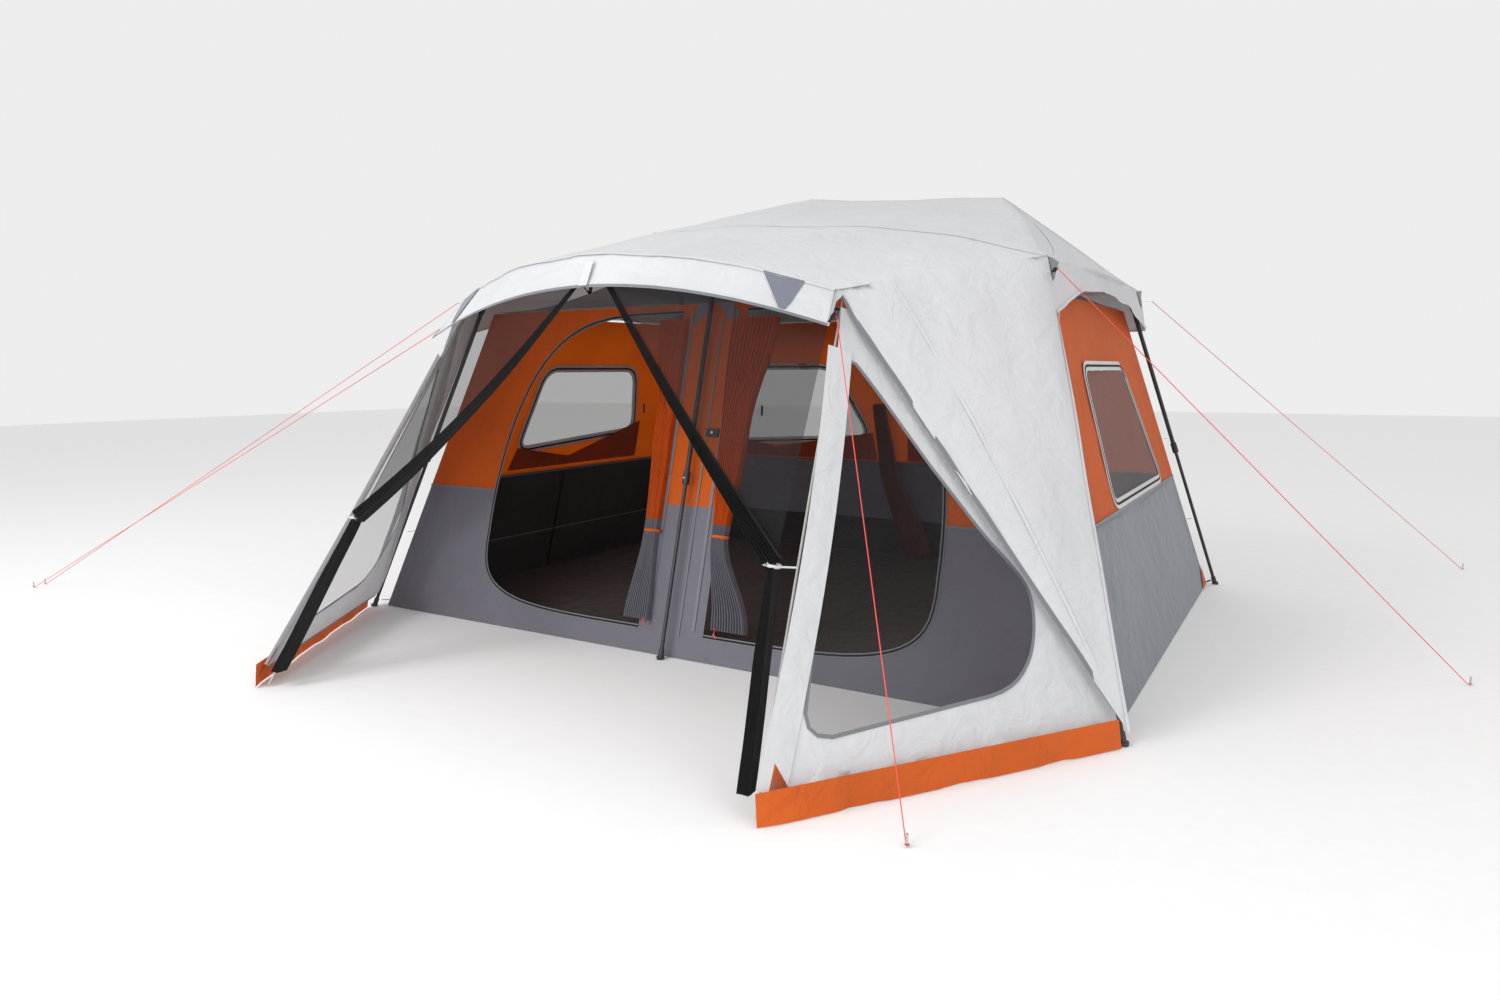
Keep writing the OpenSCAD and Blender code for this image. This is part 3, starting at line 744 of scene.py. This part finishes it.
PATCHES = {
    "patch_porch_": [[(1.0, 6.3), (0.55, 5.9), (0.1, 5.5)], [(1.0, 4.9), (0.55, 5.1), (0.1, 5.3)]],
    "patch_post_": [[(1.0, 1.9), (0.55, 1.75), (0.1, 1.62)], [(1.0, 1.2), (0.55, 1.25), (0.1, 1.3)]],
    "patch_front_": [[(3.02, 0.98), (3.3, 0.93)], [(3.05, 0.55), (3.1, 0.6)]],
    "patch_rear_": [[(6.95, 0.98), (6.7, 0.93)], [(6.9, 0.5), (6.85, 0.55)]],
}
GUY_TABS = {
    "front": (3.06, 0.7, UP),
    "rear": (6.92, 0.7, UP),
    "porch": (0.1, 1.67, FORWARD),
}
for s, tag in SIDES:
    for name, edges in PATCHES.items():
        patch(name + tag, [[(v, from_edge(h, s)) for v, h in edge] for edge in edges])
    for key, (v, h, facing) in GUY_TABS.items():
        hook = Vector(GUYS[f"guy_line_{key}_{tag}"][0])
        strap(f"guy_tab_{key}_{tag}", fly_point(v, from_edge(h, s)), hook, facing)

# tab and strap at the middle of the porch arch
CENTRE = END / 2
tilted = Vector((0, -1, 0.2))
low = fly_point(0.02, CENTRE)
tab = [fly_point(v, CENTRE) + Vector((0, -0.006, 0)) for v in (0.75, 0.5, 0.25, 0.03)]
ribbon("porch_peak_tab", tab, tilted, 0.045, WHITE, 0.004)
hanging = [low, low + Vector((0, 0.04, -0.03)), PEAK + Vector((0, -0.02, -0.05))]
ribbon("porch_peak_strap", hanging, tilted, 0.02, STRAP, 0.002)

# ---- Mesh ceiling ----
CEILING_Z, CEILING_RISE = 1.79, 0.40
cx = HALF_X - LEAN * CEILING_Z - 0.065
cy = HALF_Y - LEAN * CEILING_Z - 0.065
ceiling_rows = []
for i in range(25):
    t = i / 24 * 2 - 1
    y = MID + cy * t
    peak = 1 - abs(t)
    row = []
    for j in range(41):
        u = j / 40 * 2 - 1
        inner = lerp(HUB_X, HUB_X - 0.06, peak)
        x = cx * u
        lift = CEILING_RISE * peak
        if abs(x) >= inner:
            lift *= max(0.0, (cx - abs(x)) / (cx - inner))
        sag = 0.03 * math.sin(math.pi * min(1, abs(u))) * peak
        row.append(Vector((x, y, CEILING_Z + lift - sag)))
    ceiling_rows.append(row)
ceiling = grid_piece("ceiling_mesh", ceiling_rows, [NET_CEILING])
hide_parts("mesh_ceiling")


# ---- Porch: side walls with mesh windows, parted screen, mud skirt ----
def flipped(v, s):
    return Vector((v.x * s, v.y, v.z))


WALL_A = CORNER
WALL_B = Vector((HALF_X - 0.01, FRONT_Y - 0.03, 0))
WALL_C = SHOULDER + Vector((0.012, 0.0, -0.05))
PORCH_WINDOW = [(0.062, 0.122), (0.27, 0.131), (0.483, 0.141), (0.64, 0.148), (0.70, 0.20), (0.708, 0.273),
                (0.685, 0.345), (0.606, 0.410), (0.526, 0.468), (0.40, 0.575), (0.25, 0.70), (0.10, 0.83),
                (0.035, 0.885), (0.028, 0.80), (0.022, 0.70), (0.026, 0.49), (0.045, 0.26)]
for _ in range(2):
    PORCH_WINDOW = [
        (lerp(a[0], b[0], t), lerp(a[1], b[1], t))
        for a, b in zip(PORCH_WINDOW, PORCH_WINDOW[1:] + PORCH_WINDOW[:1])
        for t in (0.25, 0.75)
    ]
SIDE_LOOP = [(0.0, 0.05), (0.5, 0.05), (1.02, 0.05), (0.83, 0.27), (0.6, 0.52), (0.34, 0.77),
             (0.05, 0.99), (0.0, 1.0), (0.0, 0.75), (0.0, 0.5), (0.0, 0.25)]
for s, tag in SIDES:
    across, upward = WALL_B - WALL_A, WALL_C - WALL_A
    out = across.cross(upward).normalized()

    def on_porch(u, w, d=0.0):
        """u runs from the front post to the back and w up. Tension pulls the free edge in a little."""
        bow = 0.05 * math.sin(math.pi * min(1, max(0, w))) * max(0, 1 - 3 * u)
        p = WALL_A + across * (u + bow * 0.6) + upward * w + out * d
        return flipped(p, s)

    skin = flat_piece(
        "porch_side_" + tag, SIDE_LOOP, [], on_porch, [WHITE, NET_LIGHT], 0.035,
        wrinkle=lambda u, w: 0.008 * n3(u * 6, w * 3, 4), zones=[PORCH_WINDOW])
    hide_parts("porch_wall_" + tag)
    edge = [on_porch(*p) for p in PORCH_WINDOW]
    normal = flipped(out, s)
    ribbon("porch_window_binding_" + tag, edge, normal, 0.014, TAPE, 0.003, closed=True)
    base = [on_porch(0.02 + k * 0.96 / 20, 0.045) for k in range(21)]
    ribbon("porch_bottom_binding_" + tag, base, normal, 0.02, TAPE, 0.005)
    post = [on_porch(0.006, w / 20) for w in range(1, 19)]
    ribbon("porch_post_sleeve_" + tag, post, normal, 0.105, WHITE, 0.006)

    # parted mesh panel: from the arch to the hem band that runs from the peak to the tie
    peak = flipped(PEAK + Vector((0.012, -0.008, -0.03)), s)
    shoulder = flipped(SHOULDER + Vector((-0.02, -0.008, -0.03)), s)
    tied = flipped(SHOULDER.lerp(CORNER, TIE) + Vector((-0.09, -0.008, 0)), s)
    rows = []
    for i in range(29):
        t = i / 28
        inner = peak.lerp(tied, t) + Vector((0, 0.015 * math.sin(math.pi * t), -0.05 * math.sin(math.pi * t)))
        if t < 0.5:
            outer = flipped(on_bow(t * 2, 0.0, -0.02), s)
        else:
            outer = shoulder.lerp(tied, (t - 0.5) * 2)
        row = []
        for j in range(13):
            u = j / 12
            sag = 0.012 * math.sin(math.pi * u) * n3(t * 4, u * 3, s)
            folds = 0.012 * math.sin(u * 40 + t * 3) * (t ** 3) * (1 - u)
            row.append(inner.lerp(outer, u) + Vector((0, sag + folds, 0)))
        rows.append(row)
    hem = [r[0] for r in rows]
    # the rest of the panel is gathered at the tie and runs down along the post in pleats
    top = tied + Vector((0, -0.01, 0))
    foot = flipped(SHOULDER.lerp(CORNER, 0.94) + Vector((-0.075, 0.0, -0.03)), s)
    gathered = pleats(31, lambda t: SCREEN_CLOTH, SCREEN_PLEATS, lambda t: 0.025 + 0.022 * min(1, t * 2.5),
                      lambda t, x, y: top.lerp(foot, t) + Vector((x, y, 0)))
    facing = Vector((0, -1, 0.4)).normalized()
    beside = (tied - peak).cross(facing).normalized()
    band = pleats(len(hem), lambda t: 0.03 + 0.72 * t, 7, lambda t: 0.022 + 0.05 * t,
                  lambda t, x, y: hem[round(t * (len(hem) - 1))] + beside * x + facing * (y + 0.01))
    screen = grids_piece("porch_screen_" + tag, [rows, gathered, band],
                         [NET, NET_THICK, NET_THICK])
    if s > 0:
        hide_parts("porch_screen")
    post_point = flipped(SHOULDER.lerp(CORNER, TIE) + Vector((0.0, -0.012, 0)), s)
    round_front = [tied + Vector((-s * 0.03, -0.03, 0.005)), tied + Vector((0, -0.035, 0)), post_point]
    ribbon("porch_tie_" + tag, round_front, Vector((0, -0.2, 1)), 0.018, BORDER, 0.0)
    knot = ring(16, lambda c, w: tied + Vector((0.024 * c, -0.01 + 0.02 * w, -0.004 * c)))
    grid_piece("porch_tie_knot_" + tag, tube_rows(knot, 0.007, 8), [BORDER])

    # mud skirt: a loose orange flap that lies out over the ground
    a = flipped(CORNER + Vector((0.0, -0.012, 0)), s)
    b = Vector((s * (HALF_X + 0.004), FRONT_Y - 0.05, 0))
    outward = Vector((s * abs(b.y - a.y), -abs(b.x - a.x), 0)).normalized()
    rows = []
    for i in range(7):
        h = i / 6
        row = []
        for j in range(61):
            t = j / 60
            ripple = 0.010 * math.sin(t * 23 + 2) * (1 - h) + 0.006 * n3(t * 25, h * 3, s) * (1 - h)
            inward = 0.02 * h + max(0, ripple) + 0.002
            row.append(a.lerp(b, t) + Vector((0, 0, 0.002 + 0.108 * h)) - outward * inward)
        rows.append(row)
    skirt = grid_piece("skirt_" + tag, rows, [SKIRT])
    if s > 0:
        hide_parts("mud_skirt")
    lift = 0.006
    tri = [on_porch(0.0, 0.10, lift), on_porch(0.0, 0.02, lift), on_porch(0.075, 0.03, lift)]
    mesh_piece("skirt_corner_tab_" + tag, tri, [(0, 1, 2)], [SKIRT])
    eye = on_porch(0.03, 0.045, lift + 0.003)
    u1, u2 = flipped(across.normalized(), s), flipped(upward.normalized(), s)
    rim = ring(16, lambda c, w: eye + u1 * 0.013 * c + u2 * 0.013 * w)
    grid_piece("skirt_grommet_" + tag, tube_rows(rim, 0.003, 8), [BUTTON])


# ---- Gathered doors and room divider ----
def shape_of(pairs):
    """A smooth curve through (height, value) pairs."""
    def value(z):
        for (z0, v0), (z1, v1) in zip(pairs, pairs[1:]):
            if z0 <= z <= z1:
                t = (z - z0) / (z1 - z0)
                t = t * t * (3 - 2 * t)
                return lerp(v0, v1, t)
        return pairs[-1][1] if z > pairs[-1][0] else pairs[0][1]
    return value


HUNG_LOW, HUNG_TOP = 0.16, 1.69
# the middle line and the width of each gathered panel, by height
DOORS = {
    "right": (shape_of([(0.16, 0.36), (0.6, 0.235), (1.2, 0.235), (1.69, 0.27)]),
              shape_of([(0.16, 0.19), (0.6, 0.075), (1.1, 0.15), (1.69, 0.27)])),
    "left": (shape_of([(0.16, -0.20), (0.6, -0.185), (1.2, -0.20), (1.69, -0.24)]),
             shape_of([(0.16, 0.15), (0.6, 0.075), (1.1, 0.10), (1.69, 0.17)])),
}
for s, tag in SIDES:
    centre, width = DOORS[tag]

    def hang(t, x, y):
        z = lerp(HUNG_TOP, HUNG_LOW, t)
        return on_wall("front", centre(z) + x, z, y + 0.02)

    hung = pleats(41, lambda t: DOOR_CLOTH, 12, lambda t: width(lerp(HUNG_TOP, HUNG_LOW, t)), hang)
    panel = grid_piece("door_panel_" + tag, hung, [ORANGE, GREY], above(0.66))
    if s > 0:
        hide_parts("door_panels")
    tie = ring(24, lambda c, w: on_wall(
        "front", centre(DOOR_MID) + 0.043 * c, DOOR_MID, 0.02 + 0.026 * w))
    grid_piece("door_tie_" + tag, tube_rows(tie, 0.009, 8), [SKIRT])
    ends = ((-0.06, 0.17, 0.05), (-0.065, 0.14, 0.055), (-0.05, 0.125, 0.05))
    drop = [on_wall("front", centre(HUNG_LOW) + s * x, z, d) for x, z, d in ends]
    grid_piece("door_pull_" + tag, tube_rows(drop, 0.004, 8), [CORD])

DIVIDER_LOW, DIVIDER_TOP = 0.05, 1.21
lean_x = shape_of([(0.05, 0.16), (0.76, 0.0), (1.21, -0.02)])
lean_w = shape_of([(0.05, 0.24), (0.7, 0.13), (1.21, 0.09)])


def hang_divider(t, x, y):
    z = lerp(DIVIDER_TOP, DIVIDER_LOW, t)
    return on_wall("back", lean_x(z) + x, z, -0.12 + y)


hung = pleats(41, lambda t: DIVIDER_CLOTH, 14, lambda t: lean_w(lerp(DIVIDER_TOP, DIVIDER_LOW, t)),
              hang_divider)
divider = grid_piece("room_divider_cloth", hung, [CURTAIN])
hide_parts("room_divider")

# toggles beside the doors, and reinforced corners above them
for s, tag in ((1, "r"), (-1, "l")):
    for z in (1.5, 1.25):
        p = on_wall("front", s * 0.37, z, 0.012)
        ribbon(f"door_toggle_{tag}_{int(z * 100)}", [p, p + Vector((0.0, -0.004, -0.05))],
               NORMALS["front"], 0.014, STRAP, 0.002)
    corner = [(s * 0.02, 1.775), (s * 0.12, 1.775), (s * 0.12, 1.66)]
    flat_piece("door_corner_patch_" + tag, corner, [],
               lambda u, z, d: on_wall("front", u, z, 0.005), [PATCH], 0.1)

# corner tabs at the feet of the walls, each with a loop to its leg
for sx, which in SIDES:
    for sy, end_name in ((1, "rear"), (-1, "front")):
        tag = f"{end_name}_{which}"
        u_edge = MID + sy * (WALL_Y - 0.02)
        corners = ((0, 0.008), (0.17, 0.008), (0.05, 0.14))
        tri = [on_wall(which, u_edge - sy * u, z, 0.008) for u, z in corners]
        mesh_piece("corner_tab_" + tag, tri, [(0, 1, 2)], [SKIRT])
        start = on_wall(which, u_edge - sy * 0.02, 0.02, 0.01)
        near = start.lerp(Vector((sx * HALF_X, MID + sy * HALF_Y, 0.035)), 0.55)
        ribbon("corner_strap_" + tag, [start, start.lerp(near, 0.5), near],
               UP, 0.02, STRAP, 0.002)
        for z in (0.45, 0.98):
            p = on_wall(which, MID + sy * (WALL_Y - 0.03 - LEAN * z), z, 0.01)
            leg = Vector((sx * (HALF_X - LEAN * z), MID + sy * (HALF_Y - LEAN * z), z))
            ribbon(f"leg_clip_{tag}_{int(z * 100)}", [p.lerp(leg, t) for t in (0, 0.25, 0.55)],
                   UP, 0.016, STRAP, 0.0)

# a stitched seam up the middle of the front wall, beside the pole
ribbon("front_middle_seam", rising_line("front", 0.055, 0.1, 1.7, 16),
       NORMALS["front"], 0.01, TAPE, 0.004)

# ---- Floor, light and world ----
ground_mat = hard("studio_floor", (0.86, 0.86, 0.86), 0.8, 0.0, amount=0.01, grain=0.02, scale=3.0)
bpy.ops.mesh.primitive_plane_add(size=60, location=(0, 0, -0.003))
ground = bpy.context.object
ground.name = "studio_floor"
ground.data.materials.append(ground_mat)
world = bpy.data.worlds.new("studio")
world.use_nodes = True
world.node_tree.nodes["Background"].inputs["Color"].default_value = (1, 1, 1, 1)
world.node_tree.nodes["Background"].inputs["Strength"].default_value = 0.85
bpy.context.scene.world = world


def area_light(name, place, aim, size, power):
    data = bpy.data.lights.new(name, "AREA")
    data.size, data.energy = size, power
    lamp = bpy.data.objects.new(name, data)
    bpy.context.scene.collection.objects.link(lamp)
    lamp.location = place
    lamp.rotation_mode = "QUATERNION"
    lamp.rotation_quaternion = (Vector(aim) - Vector(place)).to_track_quat("-Z", "Y")


area_light("key", (-4.0, -8.0, 7.0), (0, 0, 0.8), 4.0, 380)
area_light("fill", (7.0, -4.0, 4.0), (0, 0, 1.0), 4.0, 70)
area_light("front", (0.5, -7.0, 2.2), (0, 0.5, 0.9), 3.0, 110)
bpy.context.scene.view_settings.view_transform = "Standard"
